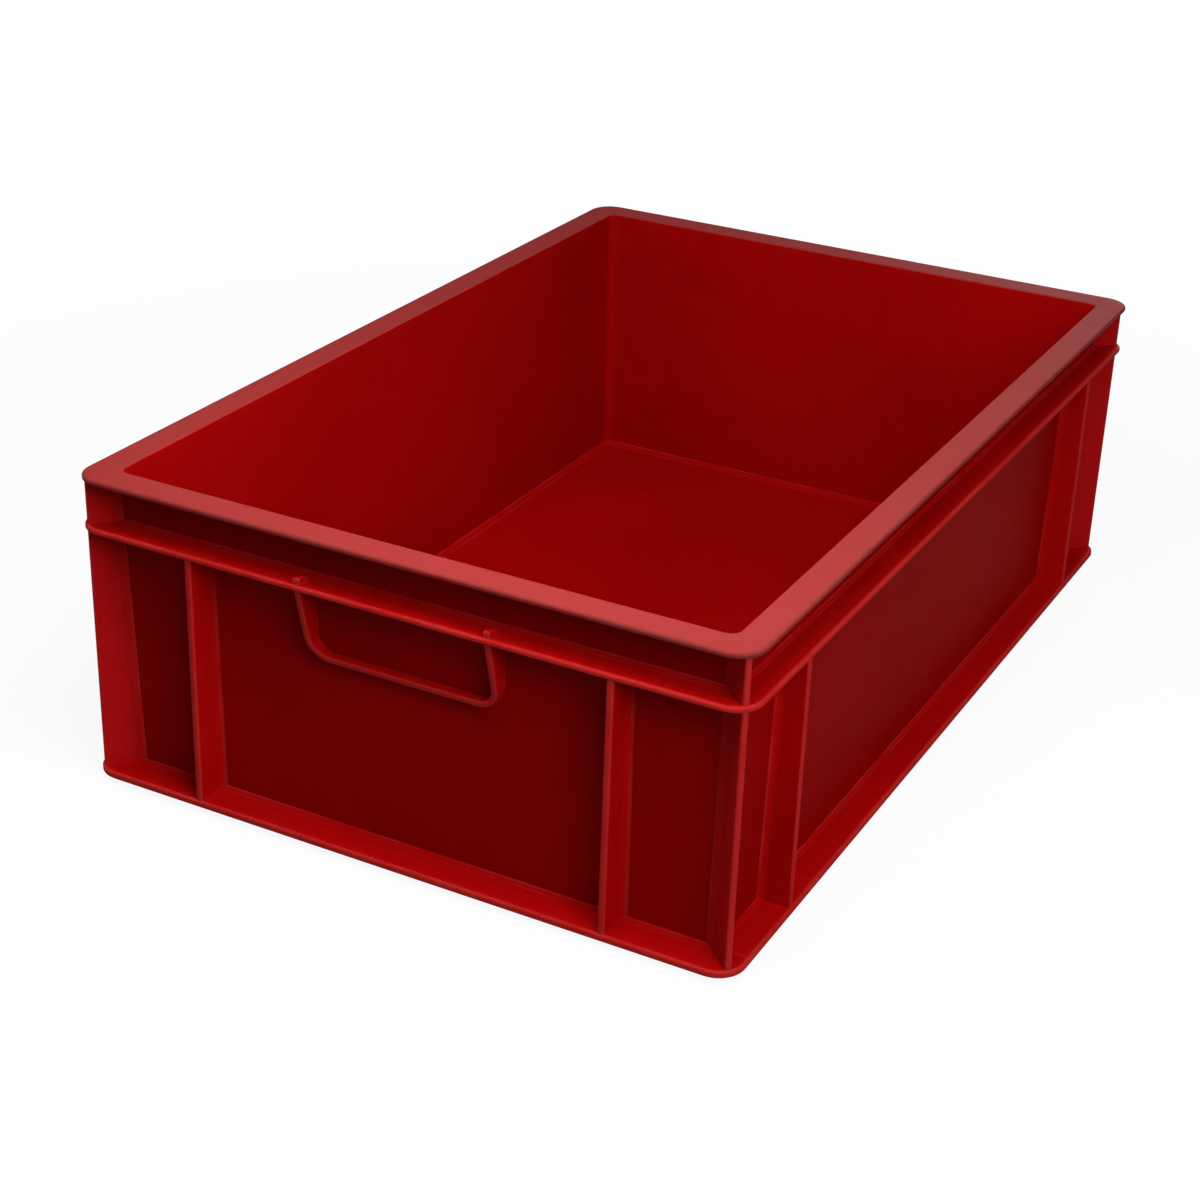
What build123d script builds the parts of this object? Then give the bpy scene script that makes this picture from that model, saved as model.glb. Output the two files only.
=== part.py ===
"""A stacking box with a 600 x 400 mm footprint: a smooth tub with three flanges, ribs and two closed handles.

The box is one plastic moulding. It is divided here where one plate, rail or rib of it meets the next.
X runs along the box, Y across it and Z up. The origin is under the middle of the box, on the surface it
stands on. Front is the handle end at -X, and right is the long side at -Y. Sizes are millimetres.
"""
import os

from build123d import *

# Overall size
LENGTH = 600.0
WIDTH = 400.0
HEIGHT = 186.0

# Tub: the smooth inside, with walls that lean in towards the floor
RIM_WIDTH_END = 19.0
RIM_WIDTH_SIDE = 18.0
WALL = 2.6
WALL_LEAN = 3.5
INNER_RADIUS = 6.0
FLOOR = 3.0
COVE = 3.0
COVE_LIP = 0.2

# Flanges round the outside, from the top down
RIM_THICKNESS = 3.0
FLANGE_DROP = 28.4
FLANGE_THICKNESS = 3.2
BASE_THICKNESS = 4.0
CORNER_RADIUS = 16.0
EDGE_RADIUS = 1.2
EDGE_SHARE = 0.45
ROOT = 2.0

# Stacking ring under the floor, which fits the opening of the box below
RING_HEIGHT = 4.0
RING_WIDTH = 4.0
RING_CLEARANCE = 2.0
RING_RADIUS = 6.0

# Stiffening ribs under the floor, the outer two at a share of half the ring's length
UNDER_RIB = 3.0
UNDER_RIB_LIFT = 1.0
UNDER_RIB_SHARE = 0.5

# Upright ribs and the diagonal webs at the corners
RIB = 4.0
RIB_ROOT = 4.0
RIB_INSET = 1.0
END_RIB_SETBACK = 74.5
SIDE_RIB_SETBACK = 74.0
WEB = 3.6
WEB_INSET = 1.2

# Handles: a U-shaped rib under the second flange, deepest at the top
HANDLE_SPAN = 113.0
HANDLE_DROP = 43.9
HANDLE_RIB = 4.0
HANDLE_RADIUS = 10.0
HANDLE_INSET = 1.5
HANDLE_FOOT_DEPTH = 5.0
NUB_HEIGHT = 4.0
NUB_TOP_DEPTH = 4.0
NUB_FOOT_DEPTH = 10.0

# Reach of a cutting body past the face that it cuts
CUT_MARGIN = 5.0

# Heights worked out from the sizes above
base_bottom = RING_HEIGHT
floor_top = RING_HEIGHT + BASE_THICKNESS
floor_bottom = floor_top - FLOOR
rim_bottom = HEIGHT - RIM_THICKNESS
flange_top = HEIGHT - FLANGE_DROP
flange_bottom = flange_top - FLANGE_THICKNESS
cut_top = HEIGHT + CUT_MARGIN


def lean(z):
    """How far a wall has leaned in at height z, from its place at the rim."""
    return WALL_LEAN * (HEIGHT - z) / (HEIGHT - floor_top)


def inner_half(z):
    """Half the length and half the width of the tub's inside at height z."""
    return LENGTH / 2 - RIM_WIDTH_END - lean(z), WIDTH / 2 - RIM_WIDTH_SIDE - lean(z)


def outer_half(z):
    """Half the length and half the width of the tub's outside at height z."""
    half_length, half_width = inner_half(z)
    return half_length + WALL, half_width + WALL


def edge_radius(thickness):
    """The rounding of a plate's edge, limited to a share of the plate's thickness."""
    return min(EDGE_RADIUS, EDGE_SHARE * thickness)


def keep_part(part, name):
    """Names a finished piece and writes it to its file."""
    part.label = name
    export_step(part, f"parts/{name}.step")


def mirrored(part, to_rear, to_right):
    """A copy of a front left piece, mirrored to the rear, to the right or both."""
    with BuildPart() as copy:
        add(part)
        if to_rear:
            mirror(about=Plane.YZ, mode=Mode.REPLACE)
        if to_right:
            mirror(about=Plane.XZ, mode=Mode.REPLACE)
    return copy.part


def keep_at_corners(part, name):
    """Writes a front left piece and its three mirrored copies."""
    for end in ("front", "rear"):
        for side in ("left", "right"):
            keep_part(mirrored(part, end == "rear", side == "right"), f"{end}_{side}_{name}")


def keep_at_ends(part, name):
    """Writes a front piece and its mirrored copy at the rear."""
    for end in ("front", "rear"):
        keep_part(mirrored(part, end == "rear", False), f"{end}_{name}")


def keep_at_sides(part, name):
    """Writes a left piece and its mirrored copy on the right."""
    for side in ("left", "right"):
        keep_part(mirrored(part, False, side == "right"), f"{side}_{name}")


os.makedirs("parts", exist_ok=True)

# The outside of the tub, as a solid body that the flanges and ribs are cut back to
with BuildPart() as tub_outside:
    for z in (floor_top, cut_top):
        with BuildSketch(Plane.XY.offset(z)):
            Rectangle(2 * outer_half(z)[0], 2 * outer_half(z)[1])
    loft(ruled=True)

# The space inside the tub
with BuildPart() as tub_inside:
    for z in (floor_top, cut_top):
        with BuildSketch(Plane.XY.offset(z)):
            RectangleRounded(2 * inner_half(z)[0], 2 * inner_half(z)[1], INNER_RADIUS)
    loft(ruled=True)


def root_flare(plate_face, direction):
    """The sloped bead round the tub where a flange's face meets the walls."""
    tip = plate_face + direction * ROOT
    with BuildPart() as flare:
        with BuildSketch(Plane.XY.offset(plate_face)):
            Rectangle(2 * (outer_half(plate_face)[0] + ROOT), 2 * (outer_half(plate_face)[1] + ROOT))
        with BuildSketch(Plane.XY.offset(tip)):
            Rectangle(2 * outer_half(tip)[0], 2 * outer_half(tip)[1])
        loft(ruled=True)
        add(tub_outside.part, mode=Mode.SUBTRACT)
    return flare.part


rim_flare = root_flare(rim_bottom, -1)
flange_upper_flare = root_flare(flange_top, 1)
flange_lower_flare = root_flare(flange_bottom, -1)
base_flare = root_flare(floor_top, 1)
flares = (rim_flare, flange_upper_flare, flange_lower_flare, base_flare)


def clear_tub():
    """Cuts the piece being built back to the tub's walls and the beads round them."""
    add(tub_outside.part, mode=Mode.SUBTRACT)
    for flare in flares:
        add(flare, mode=Mode.SUBTRACT)


def flange_plate(bottom, top):
    """A plate as large as the footprint, with rounded corners and edges."""
    with BuildPart() as plate:
        with BuildSketch(Plane.XY.offset(bottom)):
            RectangleRounded(LENGTH, WIDTH, CORNER_RADIUS)
        extrude(amount=top - bottom)
        levels = plate.edges().group_by(Axis.Z)
        fillet(levels[0] + levels[-1], edge_radius(top - bottom))
    return plate.part


def keep_rails(ring, name, split_at):
    """Divides a ring into two end rails, which hold its corners, and two side rails between them."""
    with BuildPart() as end_rail:
        add(ring)
        split(bisect_by=Plane.YZ.offset(-split_at), keep=Keep.BOTTOM)
    keep_at_ends(end_rail.part, name)
    with BuildPart() as side_rail:
        add(ring)
        split(bisect_by=Plane.YZ.offset(-split_at), keep=Keep.TOP)
        split(bisect_by=Plane.YZ.offset(split_at), keep=Keep.BOTTOM)
        split(bisect_by=Plane.XZ, keep=Keep.BOTTOM)
    keep_at_sides(side_rail.part, name)


# Floor, with a cove along the foot of the walls
with BuildPart() as floor_panel:
    with BuildSketch(Plane.XY.offset(floor_bottom)):
        Rectangle(2 * outer_half(floor_top)[0], 2 * outer_half(floor_top)[1])
    extrude(amount=FLOOR)
    for z in (floor_top, floor_top + COVE):
        with BuildSketch(Plane.XY.offset(z)):
            RectangleRounded(2 * inner_half(z)[0], 2 * inner_half(z)[1], INNER_RADIUS)
    loft(ruled=True)
    for z, inset in ((floor_top, COVE), (floor_top + COVE, COVE_LIP)):
        with BuildSketch(Plane.XY.offset(z)):
            RectangleRounded(2 * (inner_half(z)[0] - inset), 2 * (inner_half(z)[1] - inset), INNER_RADIUS)
    loft(ruled=True, mode=Mode.SUBTRACT)
keep_part(floor_panel.part, "floor_panel")

# End wall at the front, between the tub's corners
with BuildPart() as end_wall:
    for z in (floor_top, rim_bottom):
        with BuildSketch(Plane.XY.offset(z)):
            with Locations((-inner_half(z)[0] - WALL / 2, 0)):
                Rectangle(WALL, 2 * (inner_half(z)[1] - INNER_RADIUS))
    loft(ruled=True)
keep_at_ends(end_wall.part, "wall")

# Side wall on the left, between the tub's corners
with BuildPart() as side_wall:
    for z in (floor_top, rim_bottom):
        with BuildSketch(Plane.XY.offset(z)):
            with Locations((0, inner_half(z)[1] + WALL / 2)):
                Rectangle(2 * (inner_half(z)[0] - INNER_RADIUS), WALL)
    loft(ruled=True)
keep_at_sides(side_wall.part, "wall")

# Upright corner of the tub, rounded inside
with BuildPart() as wall_corner:
    for z in (floor_top, rim_bottom):
        arc_centre = (INNER_RADIUS - inner_half(z)[0], inner_half(z)[1] - INNER_RADIUS)
        with BuildSketch(Plane.XY.offset(z)):
            with Locations(arc_centre):
                Rectangle(WALL + INNER_RADIUS, WALL + INNER_RADIUS, align=(Align.MAX, Align.MIN))
                Circle(INNER_RADIUS, mode=Mode.SUBTRACT)
    loft(ruled=True)
keep_at_corners(wall_corner.part, "wall_corner")

# Rim round the opening: straight rails and corners
with BuildPart() as rim:
    add(flange_plate(rim_bottom, HEIGHT))
    add(tub_inside.part, mode=Mode.SUBTRACT)
    opening_edges = rim.faces().sort_by(Axis.Z)[-1].inner_wires()[0].edges()
    fillet(opening_edges, edge_radius(RIM_THICKNESS))
    add(rim_flare)

rim_split_x = inner_half(HEIGHT)[0] - INNER_RADIUS
rim_split_y = inner_half(HEIGHT)[1] - INNER_RADIUS

with BuildPart() as end_rim:
    add(rim.part)
    split(bisect_by=Plane.YZ.offset(-rim_split_x), keep=Keep.BOTTOM)
    split(bisect_by=Plane.XZ.offset(-rim_split_y), keep=Keep.TOP)
    split(bisect_by=Plane.XZ.offset(rim_split_y), keep=Keep.BOTTOM)
keep_at_ends(end_rim.part, "rim")

with BuildPart() as side_rim:
    add(rim.part)
    split(bisect_by=Plane.XZ.offset(-rim_split_y), keep=Keep.BOTTOM)
    split(bisect_by=Plane.YZ.offset(-rim_split_x), keep=Keep.TOP)
    split(bisect_by=Plane.YZ.offset(rim_split_x), keep=Keep.BOTTOM)
keep_at_sides(side_rim.part, "rim")

with BuildPart() as rim_corner:
    add(rim.part)
    split(bisect_by=Plane.YZ.offset(-rim_split_x), keep=Keep.BOTTOM)
    split(bisect_by=Plane.XZ.offset(-rim_split_y), keep=Keep.BOTTOM)
keep_at_corners(rim_corner.part, "rim_corner")

# Second flange, below the rim
with BuildPart() as flange:
    add(flange_plate(flange_bottom, flange_top))
    add(tub_outside.part, mode=Mode.SUBTRACT)
    add(flange_upper_flare)
    add(flange_lower_flare)
keep_rails(flange.part, "flange", inner_half(flange_bottom)[0] + WALL / 2)

# Base flange, round the edge of the floor
with BuildPart() as base_flange:
    add(flange_plate(base_bottom, floor_top))
    with BuildSketch(Plane.XY.offset(base_bottom)):
        Rectangle(2 * outer_half(floor_top)[0], 2 * outer_half(floor_top)[1])
    extrude(amount=BASE_THICKNESS, mode=Mode.SUBTRACT)
    add(base_flare)
keep_rails(base_flange.part, "base_flange", inner_half(floor_top)[0] + WALL / 2)

# Stacking ring, a clearance smaller than the opening of the box below
ring_half_length = inner_half(HEIGHT)[0] - RING_CLEARANCE
ring_half_width = inner_half(HEIGHT)[1] - RING_CLEARANCE
with BuildPart() as stacking_ring:
    with BuildSketch():
        RectangleRounded(2 * ring_half_length, 2 * ring_half_width, RING_RADIUS + RING_WIDTH)
        RectangleRounded(
            2 * (ring_half_length - RING_WIDTH),
            2 * (ring_half_width - RING_WIDTH),
            RING_RADIUS,
            mode=Mode.SUBTRACT,
        )
    extrude(amount=floor_bottom)
    fillet(stacking_ring.edges().group_by(Axis.Z)[0], edge_radius(RING_WIDTH))
keep_rails(stacking_ring.part, "stacking_ring", ring_half_length - RING_RADIUS - RING_WIDTH)

# Ribs across the underside, clear of the surface that the ring stands on
for place, name in ((-UNDER_RIB_SHARE, "front"), (0, "middle"), (UNDER_RIB_SHARE, "rear")):
    with BuildPart() as floor_rib:
        with BuildSketch(Plane.XY.offset(UNDER_RIB_LIFT)):
            with Locations((place * ring_half_length, 0)):
                Rectangle(UNDER_RIB, 2 * (ring_half_width - RING_WIDTH))
        extrude(amount=floor_bottom - UNDER_RIB_LIFT)
    keep_part(floor_rib.part, f"{name}_floor_rib")


def rib_section(plane, depth):
    """Plan of an upright rib with rounded roots: x is its reach from the wall at x = 0, y is across it."""
    half = RIB / 2
    with BuildSketch(plane) as section:
        with BuildLine():
            RadiusArc((0, -half - RIB_ROOT), (RIB_ROOT, -half), RIB_ROOT)
            Polyline((RIB_ROOT, -half), (depth, -half), (depth, half), (RIB_ROOT, half))
            RadiusArc((RIB_ROOT, half), (0, half + RIB_ROOT), RIB_ROOT)
            Line((0, half + RIB_ROOT), (0, -half - RIB_ROOT))
        make_face()
        fillet(section.vertices().sort_by(Axis.X)[-2:], edge_radius(RIB))
    return section.sketch


# Upright ribs on the front, one to each side of the handle
with BuildPart() as end_rib:
    for z in (floor_top, flange_bottom):
        root = -outer_half(z)[0]
        section_plane = Plane(origin=(root, WIDTH / 2 - END_RIB_SETBACK, z), x_dir=(-1, 0, 0))
        add(rib_section(section_plane, LENGTH / 2 - RIB_INSET + root))
    loft(ruled=True)
    for flare in (base_flare, flange_lower_flare):
        add(flare, mode=Mode.SUBTRACT)
keep_at_corners(end_rib.part, "end_rib")

# Upright ribs on the long sides, near the corners
with BuildPart() as side_rib:
    for z in (floor_top, flange_bottom):
        root = outer_half(z)[1]
        section_plane = Plane(origin=(SIDE_RIB_SETBACK - LENGTH / 2, root, z), x_dir=(0, 1, 0))
        add(rib_section(section_plane, WIDTH / 2 - RIB_INSET - root))
    loft(ruled=True)
    for flare in (base_flare, flange_lower_flare):
        add(flare, mode=Mode.SUBTRACT)
keep_at_corners(side_rib.part, "side_rib")


def web_section(z):
    """Plan of a corner web at height z: x is its reach from the tub's corner, which is at x = 0."""
    corner = Vector(-outer_half(z)[0], outer_half(z)[1])
    arc_centre = Vector(CORNER_RADIUS - LENGTH / 2, WIDTH / 2 - CORNER_RADIUS)
    outward = Vector(-1, 1).normalized()
    depth = CORNER_RADIUS - WEB_INSET - (corner - arc_centre).dot(outward)
    half = WEB / 2
    with BuildSketch(Plane(origin=(corner.X, corner.Y, z), x_dir=outward)) as section:
        with BuildLine():
            Polyline(
                (0, 0), (-half - ROOT, -half - ROOT), (ROOT, -half), (depth, -half),
                (depth, half), (ROOT, half), (-half - ROOT, half + ROOT),
                close=True,
            )
        make_face()
        fillet(section.vertices().sort_by(Axis.X)[-2:], edge_radius(WEB))
    return section.sketch


def corner_web(bottom, top, bottom_flare, top_flare):
    """An upright diagonal web from the tub's corner to the rounded corner of the flanges."""
    with BuildPart() as web:
        for z in (bottom, top):
            add(web_section(z))
        loft(ruled=True)
        for flare in (bottom_flare, top_flare):
            add(flare, mode=Mode.SUBTRACT)
    return web.part


# Diagonal webs at the corners, below the second flange and between it and the rim
lower_web = corner_web(floor_top, flange_bottom, base_flare, flange_lower_flare)
keep_at_corners(lower_web, "corner_web")
upper_web = corner_web(flange_top, rim_bottom, flange_upper_flare, rim_flare)
keep_at_corners(upper_web, "corner_gusset")

# Handle at the front: a U-shaped rib, cut by a slope that leaves it shallow at the foot
handle_foot = flange_bottom - HANDLE_DROP
handle_half = HANDLE_SPAN / 2 + HANDLE_RIB / 2
handle_root = outer_half(floor_top)[0] - WALL
handle_front = LENGTH / 2 - HANDLE_INSET
handle_foot_front = outer_half(handle_foot)[0] + HANDLE_FOOT_DEPTH
slope = Plane(
    origin=(-handle_front, 0, flange_bottom),
    x_dir=(0, 1, 0),
    z_dir=(-HANDLE_DROP, 0, handle_foot_front - handle_front),
)


def handle_outline(inset, radius):
    """The U of the handle, seen from the front, set in from its outside by inset."""
    half = handle_half - inset
    foot = handle_foot + inset
    with BuildLine() as outline:
        FilletPolyline(
            (-half, flange_bottom), (-half, foot), (half, foot), (half, flange_bottom),
            radius=radius,
        )
        Line((half, flange_bottom), (-half, flange_bottom))
    return outline.line


with BuildPart() as handle:
    with BuildSketch(Plane.YZ.offset(-handle_root)):
        add(handle_outline(0, HANDLE_RADIUS + HANDLE_RIB))
        make_face()
        add(handle_outline(HANDLE_RIB, HANDLE_RADIUS))
        make_face(mode=Mode.SUBTRACT)
    extrude(amount=handle_root - handle_front)
    split(bisect_by=slope, keep=Keep.BOTTOM)
    front_face = handle.faces().sort_by(Axis(slope.origin, slope.z_dir))[-1]
    fillet(front_face.edges().sort_by(Axis.Z)[:-2], edge_radius(HANDLE_RIB))
    clear_tub()

handle_bar_half = handle_half - HANDLE_RADIUS - HANDLE_RIB
with BuildPart() as handle_bar:
    add(handle.part)
    split(bisect_by=Plane.XZ.offset(-handle_bar_half), keep=Keep.TOP)
    split(bisect_by=Plane.XZ.offset(handle_bar_half), keep=Keep.BOTTOM)
keep_at_ends(handle_bar.part, "handle_bar")

with BuildPart() as handle_leg:
    add(handle.part)
    split(bisect_by=Plane.XZ.offset(-handle_bar_half), keep=Keep.BOTTOM)
keep_at_corners(handle_leg.part, "handle_leg")

# Low wedges on the second flange, above the handle's legs
nub_top = flange_top + NUB_HEIGHT
with BuildPart() as handle_nub:
    with BuildSketch(Plane.XZ.offset(-HANDLE_SPAN / 2 - HANDLE_RIB / 2)):
        with BuildLine():
            Polyline(
                (-handle_front, flange_top), (-handle_front, nub_top),
                (NUB_TOP_DEPTH - handle_front, nub_top), (NUB_FOOT_DEPTH - handle_front, flange_top),
                close=True,
            )
        make_face()
    extrude(amount=HANDLE_RIB)
    fillet(handle_nub.faces().sort_by(Axis.Z)[-1].edges(), edge_radius(HANDLE_RIB))
    clear_tub()
keep_at_corners(handle_nub.part, "handle_nub")
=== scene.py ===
"""Looks of the red stacking box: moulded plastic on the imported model, a pale floor, soft light, a camera."""

import math

import bpy
from mathutils import Matrix, Vector


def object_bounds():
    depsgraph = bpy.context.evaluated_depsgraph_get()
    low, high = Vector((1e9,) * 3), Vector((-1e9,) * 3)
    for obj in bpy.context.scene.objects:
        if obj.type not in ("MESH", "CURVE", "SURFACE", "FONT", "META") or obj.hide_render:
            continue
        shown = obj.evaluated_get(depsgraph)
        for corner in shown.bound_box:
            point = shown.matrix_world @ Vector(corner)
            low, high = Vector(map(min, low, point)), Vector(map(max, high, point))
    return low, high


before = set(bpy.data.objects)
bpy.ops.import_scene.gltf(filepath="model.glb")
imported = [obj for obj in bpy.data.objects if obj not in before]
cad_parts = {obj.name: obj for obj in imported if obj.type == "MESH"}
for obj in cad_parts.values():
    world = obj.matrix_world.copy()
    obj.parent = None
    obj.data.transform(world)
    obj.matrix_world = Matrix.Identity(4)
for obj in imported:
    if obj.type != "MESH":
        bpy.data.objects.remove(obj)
cad_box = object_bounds()

# Lengths are in metres, angles in degrees, and colours are linear

# Camera: it looks at the near corner between the front, at -X, and the right side, at -Y
CAMERA_AZIMUTH = 207.285
CAMERA_ELEVATION = 26.305
CAMERA_ROLL = -2.036
CAMERA_DISTANCE = 1.458
CAMERA_AIM = Vector((-0.0028, 0.0341, 0.0305))
CAMERA_LENS_MM = 69.09
SENSOR_WIDTH_MM = 36.0

# Reds of the plastic: a pair is the darker and the lighter end of an uneven tone. The thin, panel and corner
# reds are the thick reds made lighter, as painted light for the extra light that these pieces catch
THICK_REDS = (0.270, 0.0006, 0.0008, 1.0), (0.330, 0.0012, 0.0013, 1.0)
THIN_PAINTED_LIGHT_REDS = (0.370, 0.0010, 0.0012, 1.0), (0.440, 0.0020, 0.0020, 1.0)
PANEL_PAINTED_LIGHT_REDS = (0.305, 0.0007, 0.0009, 1.0), (0.373, 0.0014, 0.0015, 1.0)
CORNER_PAINTED_LIGHT_REDS = (0.420, 0.0040, 0.0055, 1.0), (0.500, 0.0067, 0.0090, 1.0)
# Edges and scuffs: wear, with a painted highlight on the edges
WORN_AND_HIGHLIGHT_RED = (0.400, 0.0380, 0.0350, 1.0)
# Outermost faces: rubbing, with painted light
RUBBED_AND_LIT_RED = (0.500, 0.0210, 0.0190, 1.0)
# Top of the rim, worn paler with a painted sheen, and the red of the rim's outermost faces
RIM_WEAR_AND_SHEEN_RED = (0.310, 0.0370, 0.0345, 1.0)
RIM_EDGE_RED = (0.220, 0.0280, 0.0260, 1.0)

# Tone: broad clouds and a finer mottle
CLOUD_SIZE = 0.16
CLOUD_SHARE = 0.7
MOTTLE_SIZE = 0.012
MOTTLE_SHARE = 0.3
TONE_RANGE = (0.3, 0.7)

# Top of the rim, worn paler and given a painted sheen: how deep that reaches, which faces count as level, and
# how strongly they are made paler
RIM_WEAR_AND_SHEEN_REACH = 0.0016
LEVEL_RANGE = (0.3, 0.9)
RIM_WEAR_AND_SHEEN_LEAST = 0.6
RIM_WEAR_AND_SHEEN_BY_TONE = 0.5

# Outermost faces, rubbed paler and made lighter as painted light where they stand out of the shade: how deep
# that reaches, the arc of the box's corners, and its patches
OUTER_FACE_REACH = 0.0024
CORNER_RADIUS = 0.016
PATCH_SIZE = 0.035
PATCH_RANGE = (0.30, 0.65)
RUBBED_AND_LIT_LEAST = 0.6
RUBBED_AND_LIT_BY_PATCH = 0.4

# Faces that count as looking along the box
ENDWAYS_RANGE = (0.5, 0.8)

# Edges: how far their wear and painted highlight reach, and how sharp a bend counts as an edge
EDGE_REACH = 0.0016
EDGE_SAMPLES = 4
EDGE_BEND_RANGE = (0.995, 0.90)

# Scuffs: thin streaks that come in patches
SCUFF_WIDTH = 0.0016
SCUFF_STRETCH = 45.0
SCUFF_RANGE = (0.70, 0.80)
SCUFF_PATCH_SIZE = 0.07
SCUFF_PATCH_RANGE = (0.5, 0.68)
SCUFF_STRENGTH = 0.30

# Gloss, and the grain of the mould
ROUGHNESS_LEAST = 0.54
ROUGHNESS_BY_MOTTLE = 0.16
ROUGHNESS_BY_WEAR = 0.20
SPECULAR_LEVEL = 0.012
GRAIN_SIZE = 0.0009
GRAIN_DEPTH = 0.00006
GRAIN_STRENGTH = 0.35

# Kinds of piece, by a word in their names: the reds, some made lighter as painted light, the red of the
# outermost faces, the paleness of the edges, from wear and a painted highlight, and the paleness of the faces
# that look along the box, from wear and painted light
THIN_EDGE_PALENESS = 0.45
THICK_EDGE_PALENESS = 0.10
HANDLED_WEAR_AND_LIGHT = 0.90
NO_END_PALENESS = 0.0
KINDS = (
    ("handle", THIN_PAINTED_LIGHT_REDS, RUBBED_AND_LIT_RED, THIN_EDGE_PALENESS, HANDLED_WEAR_AND_LIGHT),
    ("web", CORNER_PAINTED_LIGHT_REDS, RUBBED_AND_LIT_RED, THIN_EDGE_PALENESS, NO_END_PALENESS),
    ("gusset", CORNER_PAINTED_LIGHT_REDS, RUBBED_AND_LIT_RED, THIN_EDGE_PALENESS, NO_END_PALENESS),
    ("flange", THIN_PAINTED_LIGHT_REDS, RUBBED_AND_LIT_RED, THIN_EDGE_PALENESS, NO_END_PALENESS),
    ("rib", THIN_PAINTED_LIGHT_REDS, RUBBED_AND_LIT_RED, THIN_EDGE_PALENESS, NO_END_PALENESS),
    ("ring", THIN_PAINTED_LIGHT_REDS, RUBBED_AND_LIT_RED, THIN_EDGE_PALENESS, NO_END_PALENESS),
    ("floor", PANEL_PAINTED_LIGHT_REDS, RUBBED_AND_LIT_RED, THIN_EDGE_PALENESS, NO_END_PALENESS),
    ("wall", THICK_REDS, RUBBED_AND_LIT_RED, THICK_EDGE_PALENESS, NO_END_PALENESS),
    ("rim", THICK_REDS, RIM_EDGE_RED, THICK_EDGE_PALENESS, NO_END_PALENESS),
)

# Surroundings, as they are seen and as they light the box
WHITE = (1.0, 1.0, 1.0, 1.0)
WHITE_STRENGTH = 1.0
WORLD_STRENGTH = 0.03
FLOOR_SIZE = 40.0
FLOOR_GREY = (0.30, 0.30, 0.30, 1.0)

# Share of the floor's white that takes no shadow, and the distances between which it grows to all of it
SHADOWLESS_SHARE = 0.92
SHADOW_NEAR = 0.45
SHADOW_FAR = 1.10

# Lamps: name, place, the point that it faces, side and watts
BOX_MIDDLE = (0.0, 0.0, 0.1)
FRONT_HALF = (-0.1, 0.0, 0.1)
LEFT_WALL = (-0.1, 0.18, 0.1)
RIGHT_WALL = (-0.15, -0.2, 0.1)
LAMPS = (
    ("near_key", (-1.0, -1.0, 1.2), BOX_MIDDLE, 0.7, 8.9),
    ("over_fill", (-0.30, -0.28, 0.85), FRONT_HALF, 0.3, 2.5),
    ("inside_fill", (-0.35, -0.05, 0.60), LEFT_WALL, 0.3, 1.95),
    ("side_fill", (-0.6, -0.8, 0.5), RIGHT_WALL, 0.3, 1.55),
    ("right_fill", (-0.4, -2.2, 0.9), BOX_MIDDLE, 1.0, 3.4),
    ("left_fill", (-0.2, 2.2, 0.55), BOX_MIDDLE, 0.8, 18.0),
    ("rear_fill", (2.3, 0.2, 0.55), BOX_MIDDLE, 0.8, 20.0),
)


class Shader:
    """A small helper that adds nodes to a material or world and links them."""

    def __init__(self, owner):
        owner.use_nodes = True
        self.tree = owner.node_tree
        self.tree.nodes.clear()

    def add(self, kind, inputs, **properties):
        """Adds a node with these properties; each input gets a plain value, or a link from another node."""
        node = self.tree.nodes.new(kind)
        for name, value in properties.items():
            setattr(node, name, value)
        for name, value in inputs.items():
            if isinstance(value, bpy.types.NodeSocket):
                self.tree.links.new(value, node.inputs[name])
            else:
                node.inputs[name].default_value = value
        return node

    def ramp(self, factor, low, high):
        """A factor stretched, with soft ends, so that low gives 0 and high gives 1."""
        limits = {"Value": factor, "From Min": low, "From Max": high}
        return self.add("ShaderNodeMapRange", limits, interpolation_type="SMOOTHSTEP").outputs["Result"]

    def math(self, operation, first, second=0.0):
        """One arithmetic step on two factors, or on one."""
        return self.add("ShaderNodeMath", {0: first, 1: second}, operation=operation).outputs["Value"]

    def weighted(self, factor, weight, added):
        """A factor times a weight, with another factor added."""
        return self.math("ADD", self.math("MULTIPLY", factor, weight), added)

    def mix(self, factor, first, second):
        """A colour between two colours."""
        inputs = {"Factor": factor, "A": first, "B": second}
        return self.add("ShaderNodeMix", inputs, data_type="RGBA").outputs["Result"]

    def axes(self, vector):
        """A vector's X, Y and Z."""
        return self.add("ShaderNodeSeparateXYZ", {"Vector": vector}).outputs

    def noise(self, where, size, detail, stretch=(1.0, 1.0, 1.0)):
        """Noise whose lumps measure about size, and more along an axis with a larger stretch."""
        scale = [1.0 / (size * length) for length in stretch]
        mapping = self.add("ShaderNodeMapping", {"Vector": where, "Scale": scale})
        lumps = {"Vector": mapping.outputs["Vector"], "Scale": 1.0, "Detail": detail}
        return self.add("ShaderNodeTexNoise", lumps).outputs["Fac"]

    def show(self, kind, surface):
        """Ends the nodes with the material's or the world's output."""
        self.add(kind, {"Surface": surface})


def outer_faces(shader, place):
    """1 on the faces that stand furthest out, round the corners too, fading to 0 within the reach of the
    rubbing and painted light.
    """
    squares = []
    for axis, side in zip("XY", cad_box[1]):
        distance = shader.math("ABSOLUTE", place[axis])
        past_arc_centre = shader.math("SUBTRACT", distance, side - CORNER_RADIUS)
        squares.append(shader.math("POWER", shader.math("MAXIMUM", past_arc_centre, 0.0), 2.0))
    reach = shader.math("POWER", shader.math("ADD", *squares), 0.5)
    return shader.ramp(reach, CORNER_RADIUS - OUTER_FACE_REACH, CORNER_RADIUS - OUTER_FACE_REACH / 2)


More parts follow.
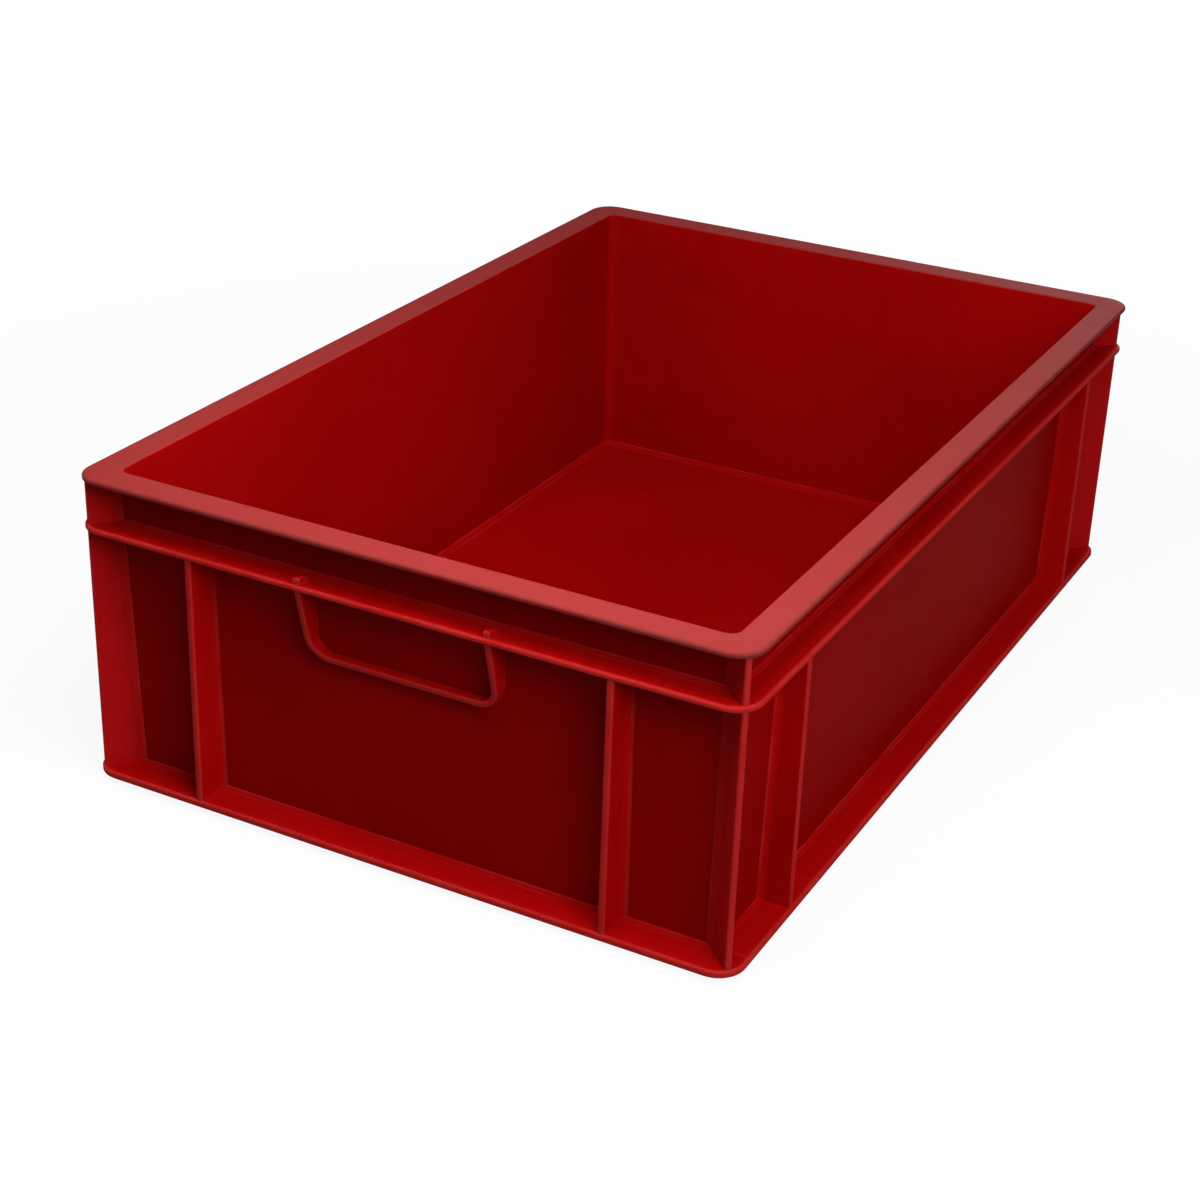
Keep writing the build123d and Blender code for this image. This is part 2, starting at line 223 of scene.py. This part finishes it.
def pale_edges(shader, normal):
    """1 along the edges, where the surface bends within the reach of the wear and painted highlight, and 0
    elsewhere.
    """
    bevel = shader.add("ShaderNodeBevel", {"Radius": EDGE_REACH}, samples=EDGE_SAMPLES)
    normals = {0: bevel.outputs["Normal"], 1: normal}
    facing = shader.add("ShaderNodeVectorMath", normals, operation="DOT_PRODUCT")
    return shader.ramp(facing.outputs["Value"], *EDGE_BEND_RANGE)


def scuff_marks(shader, where):
    """Thin streaks along the box and across it, in patches."""
    streaks = []
    for stretch in ((SCUFF_STRETCH, 1.0, 1.0), (1.0, SCUFF_STRETCH, 1.0)):
        drawn_out = shader.noise(where, SCUFF_WIDTH, detail=1.0, stretch=stretch)
        streaks.append(shader.ramp(drawn_out, *SCUFF_RANGE))
    patches = shader.ramp(shader.noise(where, SCUFF_PATCH_SIZE, detail=3.0), *SCUFF_PATCH_RANGE)
    strength = shader.math("MULTIPLY", patches, SCUFF_STRENGTH)
    return shader.math("MULTIPLY", shader.math("MAXIMUM", *streaks), strength)


def moulded_plastic(name, reds, outer_red, edge_paleness, end_wear_and_light):
    """Red polypropylene between two reds: uneven tone, a fine grain, scuffs, paler edges with a painted
    highlight, a painted sheen on the rim's top and painted light on the faces that stand out.
    """
    material = bpy.data.materials.new(name)
    shader = Shader(material)
    where = shader.add("ShaderNodeTexCoord", {}).outputs["Object"]
    normal = shader.add("ShaderNodeNewGeometry", {}).outputs["Normal"]
    place = shader.axes(where)
    looking = shader.axes(normal)

    # Tone
    clouds = shader.noise(where, CLOUD_SIZE, detail=3.0)
    mottle = shader.noise(where, MOTTLE_SIZE, detail=4.0)
    tone = shader.weighted(clouds, CLOUD_SHARE, shader.math("MULTIPLY", mottle, MOTTLE_SHARE))
    colour = shader.mix(shader.ramp(tone, *TONE_RANGE), *reds)

    # Top of the rim, paler where boxes are stacked on it, with a painted sheen
    rim_top = cad_box[1].z
    at_rim = shader.ramp(place["Z"], rim_top - RIM_WEAR_AND_SHEEN_REACH, rim_top - RIM_WEAR_AND_SHEEN_REACH / 4)
    level_rim_top = shader.math("MULTIPLY", at_rim, shader.ramp(looking["Z"], *LEVEL_RANGE))
    rim_wear_and_sheen = shader.math("MULTIPLY", level_rim_top, shader.weighted(tone, RIM_WEAR_AND_SHEEN_BY_TONE, RIM_WEAR_AND_SHEEN_LEAST))
    colour = shader.mix(rim_wear_and_sheen, colour, RIM_WEAR_AND_SHEEN_RED)

    # Outermost faces, rubbed paler where boxes stand side by side, and lighter as painted light where they
    # stand out of the shade
    patchy = shader.ramp(shader.noise(where, PATCH_SIZE, detail=5.0), *PATCH_RANGE)
    unevenly = shader.weighted(patchy, RUBBED_AND_LIT_BY_PATCH, RUBBED_AND_LIT_LEAST)
    rubbed_and_lit = shader.math("MULTIPLY", outer_faces(shader, place), unevenly)
    colour = shader.mix(rubbed_and_lit, colour, outer_red)

    # Faces that look along the box, where hands rub a handle, with painted light on the handle's front faces
    endways = shader.ramp(shader.math("ABSOLUTE", looking["X"]), *ENDWAYS_RANGE)
    colour = shader.mix(shader.math("MULTIPLY", endways, end_wear_and_light), colour, outer_red)

    # Edges, worn paler in patches and given a painted highlight, and scuffs
    in_patches = shader.math("MULTIPLY", patchy, edge_paleness)
    pale_edge_share = shader.math("MULTIPLY", pale_edges(shader, normal), in_patches)
    paler = shader.math("MAXIMUM", pale_edge_share, scuff_marks(shader, where))
    colour = shader.mix(paler, colour, WORN_AND_HIGHLIGHT_RED)

    # Gloss: satin, duller where it is worn
    gloss = shader.weighted(mottle, ROUGHNESS_BY_MOTTLE, ROUGHNESS_LEAST)
    roughness = shader.weighted(paler, ROUGHNESS_BY_WEAR, gloss)

    # Grain of the mould
    bump = shader.add("ShaderNodeBump", {
        "Strength": GRAIN_STRENGTH,
        "Distance": GRAIN_DEPTH,
        "Height": shader.noise(where, GRAIN_SIZE, detail=2.0),
    })
    plastic = shader.add("ShaderNodeBsdfPrincipled", {
        "Base Color": colour,
        "Roughness": roughness,
        "Specular IOR Level": SPECULAR_LEVEL,
        "Normal": bump.outputs["Normal"],
    })
    shader.show("ShaderNodeOutputMaterial", plastic.outputs["BSDF"])
    return material


def seen_directly(shader):
    """1 for rays from the camera, a mirror or glass, and 0 for the light that falls on the object."""
    path = shader.add("ShaderNodeLightPath", {}).outputs
    mirrored = shader.math("MAXIMUM", path["Is Camera Ray"], path["Is Glossy Ray"])
    return shader.math("MAXIMUM", mirrored, path["Is Transmission Ray"])


def pale_floor():
    """A floor that looks white and keeps a soft shadow, but throws back light as a grey one does."""
    bpy.ops.mesh.primitive_plane_add(size=FLOOR_SIZE)
    floor = bpy.context.object
    floor.name = "floor"
    material = bpy.data.materials.new("pale_floor")
    shader = Shader(material)
    seen = seen_directly(shader)
    matte = shader.add("ShaderNodeBsdfDiffuse", {"Color": shader.mix(seen, FLOOR_GREY, WHITE)})
    white = shader.add("ShaderNodeEmission", {"Color": WHITE, "Strength": WHITE_STRENGTH})

    # Plain white far from the box, so that the lamps leave no edges there
    where = shader.add("ShaderNodeTexCoord", {}).outputs["Object"]
    distance = shader.add("ShaderNodeVectorMath", {0: where}, operation="LENGTH")
    far = shader.ramp(distance.outputs["Value"], SHADOW_NEAR, SHADOW_FAR)
    shadowless = shader.weighted(far, 1.0 - SHADOWLESS_SHARE, SHADOWLESS_SHARE)
    mixed = shader.add("ShaderNodeMixShader", {
        0: shader.math("MULTIPLY", seen, shadowless),
        1: matte.outputs["BSDF"],
        2: white.outputs["Emission"],
    })
    shader.show("ShaderNodeOutputMaterial", mixed.outputs["Shader"])
    floor.data.materials.append(material)


def studio_world():
    """Even light from all round, and white where it is seen directly."""
    world = bpy.data.worlds.new("studio")
    bpy.context.scene.world = world
    shader = Shader(world)
    strength = shader.add("ShaderNodeMapRange", {
        "Value": seen_directly(shader),
        "To Min": WORLD_STRENGTH,
        "To Max": WHITE_STRENGTH,
    })
    background = {"Color": WHITE, "Strength": strength.outputs["Result"]}
    lit = shader.add("ShaderNodeBackground", background)
    shader.show("ShaderNodeOutputWorld", lit.outputs["Background"])


def softbox(name, place, target, side, watts):
    """A square lamp at place that faces target."""
    light = bpy.data.lights.new(name, "AREA")
    light.shape = "SQUARE"
    light.size = side
    light.energy = watts
    lamp = bpy.data.objects.new(name, light)
    lamp.location = place
    lamp.rotation_mode = "QUATERNION"
    lamp.rotation_quaternion = (Vector(target) - Vector(place)).to_track_quat("-Z", "Y")
    bpy.context.scene.collection.objects.link(lamp)


def photo_camera():
    """The camera at the photograph's viewing angle, tilted by its roll."""
    azimuth = math.radians(CAMERA_AZIMUTH)
    elevation = math.radians(CAMERA_ELEVATION)
    back = Vector((
        math.cos(azimuth) * math.cos(elevation),
        math.sin(azimuth) * math.cos(elevation),
        math.sin(elevation),
    ))
    level = (-back).to_track_quat("-Z", "Y").to_matrix()
    turn = level @ Matrix.Rotation(math.radians(-CAMERA_ROLL), 3, "Z")
    data = bpy.data.cameras.new("camera")
    data.sensor_width = SENSOR_WIDTH_MM
    data.lens = CAMERA_LENS_MM
    camera = bpy.data.objects.new("camera", data)
    camera.matrix_world = Matrix.Translation(CAMERA_AIM + back * CAMERA_DISTANCE) @ turn.to_4x4()
    bpy.context.scene.collection.objects.link(camera)
    bpy.context.scene.camera = camera


# Plastic on every piece, by the first kind whose word is in its name
plastics = {word: moulded_plastic(f"red_plastic_{word}", *look) for word, *look in KINDS}
for name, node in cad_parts.items():
    kind = next(word for word in plastics if word in name.split("_"))
    for slot in node.material_slots:
        slot.material = plastics[kind]

# Surroundings
pale_floor()
studio_world()
for lamp in LAMPS:
    softbox(*lamp)
photo_camera()
bpy.context.scene.view_settings.view_transform = "Standard"
